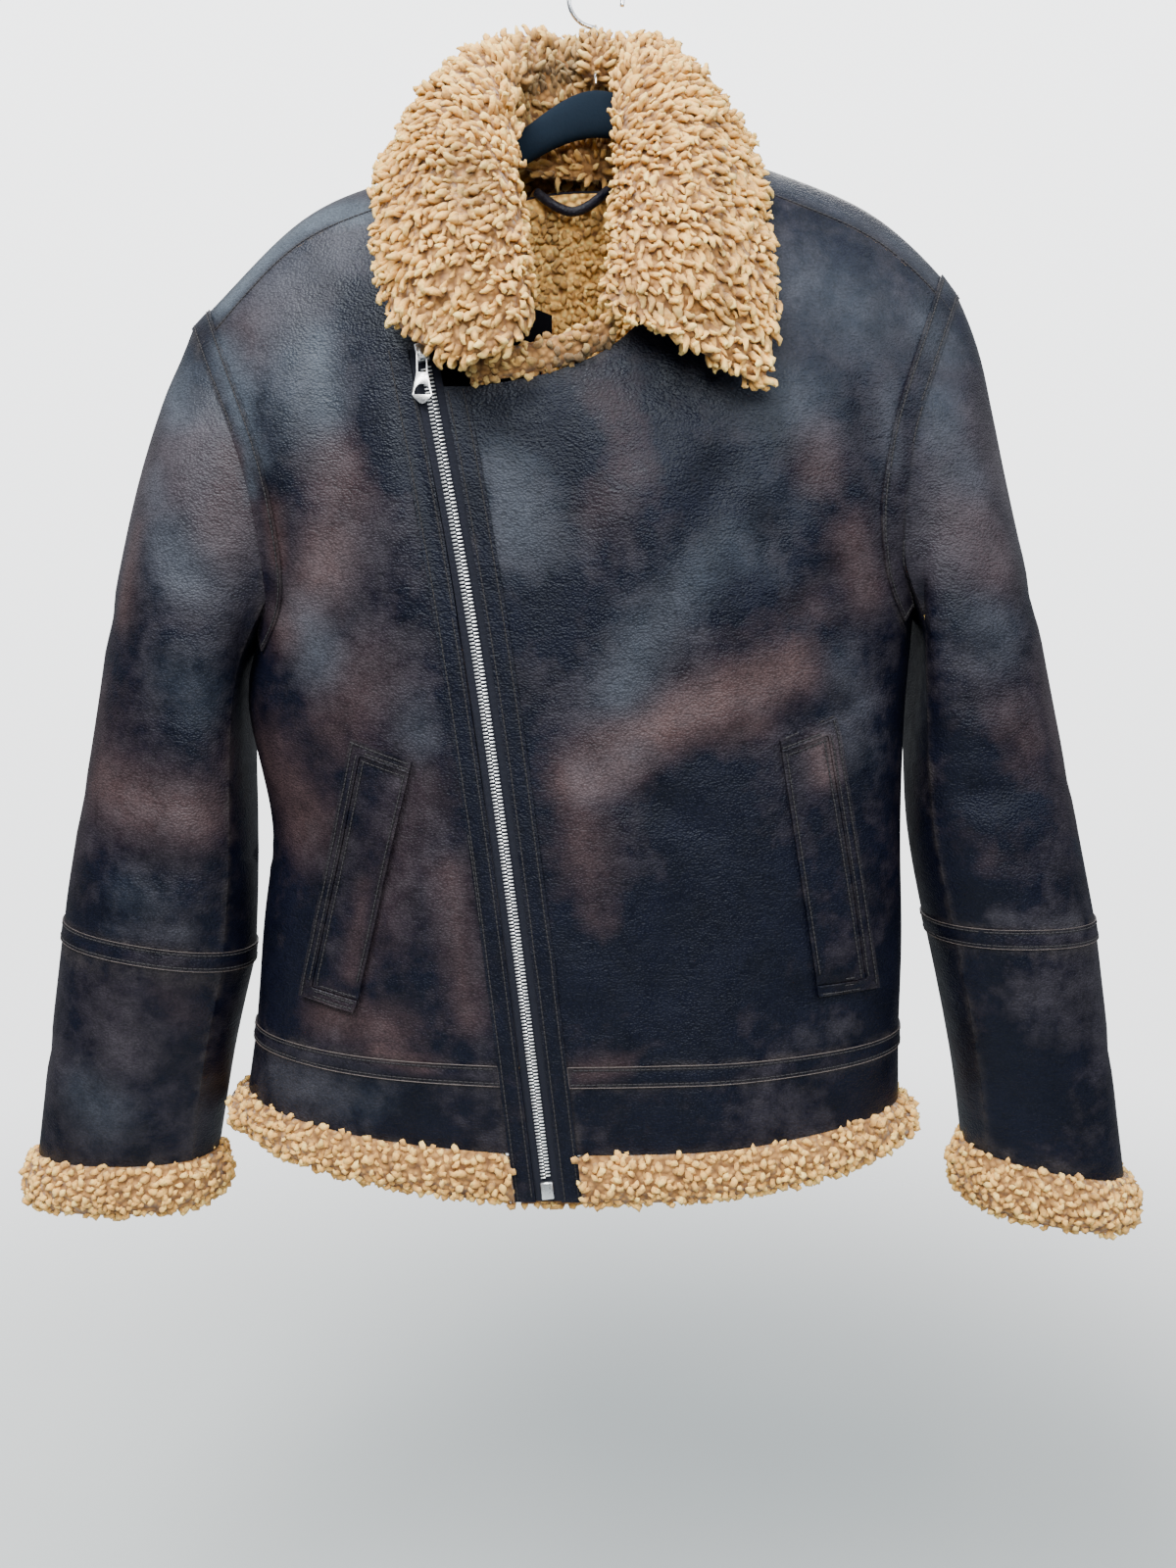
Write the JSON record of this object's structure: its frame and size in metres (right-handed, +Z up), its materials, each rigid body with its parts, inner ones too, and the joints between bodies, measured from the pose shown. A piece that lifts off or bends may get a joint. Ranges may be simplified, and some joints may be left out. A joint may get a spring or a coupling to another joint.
{
  "type": "faux shearling coat on a hanger",
  "caption": "Hip-length leather-look coat with a deep fold-over pile collar, a slanted front zip, welt pockets and pile at hem and cuffs, hanging on a contoured hanger.",
  "frame": {"origin": "top of the inside of the hanger's hook, where a rail carries it", "axes": "+Z up, -Y the coat's front, +X the viewer's right when facing the front, which is the wearer's left"},
  "size_m": [0.8587, 0.219, 0.902],
  "materials": {
    "leather": "worn satin",
    "fur": "curled pile",
    "zip_cloth": "woven tape",
    "metal": "polished",
    "hanger_plastic": "flocked"
  },
  "bodies": {
    "coat": {"front_right": "leather", "front_left": "leather", "back": "leather", "shoulder_strip_right": "leather", "shoulder_strip_left": "leather", "armhole_tape_right": "leather", "armhole_tape_left": "leather", "sleeve_top_right": "leather", "sleeve_top_left": "leather", "sleeve_under_right": "leather", "sleeve_under_left": "leather", "sleeve_band_right": "leather", "sleeve_band_left": "leather", "forearm_top_right": "leather", "forearm_top_left": "leather", "forearm_under_right": "leather", "forearm_under_left": "leather", "cuff_fur_right": "fur", "cuff_fur_left": "fur", "hem_strip_right": "leather", "hem_strip_left": "leather", "hem_strip_back": "leather", "hem_panel_right": "leather", "hem_panel_left": "leather", "hem_panel_back": "leather", "hem_fur_right": "fur", "hem_fur_left": "fur", "hem_fur_back": "fur", "zip_placket_right": "leather", "zip_placket_left": "leather", "zip_tape_right": "zip_cloth", "zip_tape_left": "zip_cloth", "zip_chain": "metal", "zip_slider": "metal", "zip_box": "metal", "zip_fur_backing": "fur", "neck_edge_fur": "fur", "collar": "fur", "hang_loop": "leather", "pocket_welt_right": "leather", "pocket_welt_left": "leather", "pocket_frame_right": "leather", "pocket_frame_left": "leather", "hanger": "hanger_plastic", "hanger_hook": "metal"},
    "pull": {"zip_pull": "metal"}
  },
  "joints": [
    {"name": "pull_swing", "type": "hinge", "parent": "coat", "child": "pull", "pos_m": [-0.11137, -0.09514, -0.26624], "axis": [-1, 0, 0], "range_deg": [0, 70]}
  ]
}
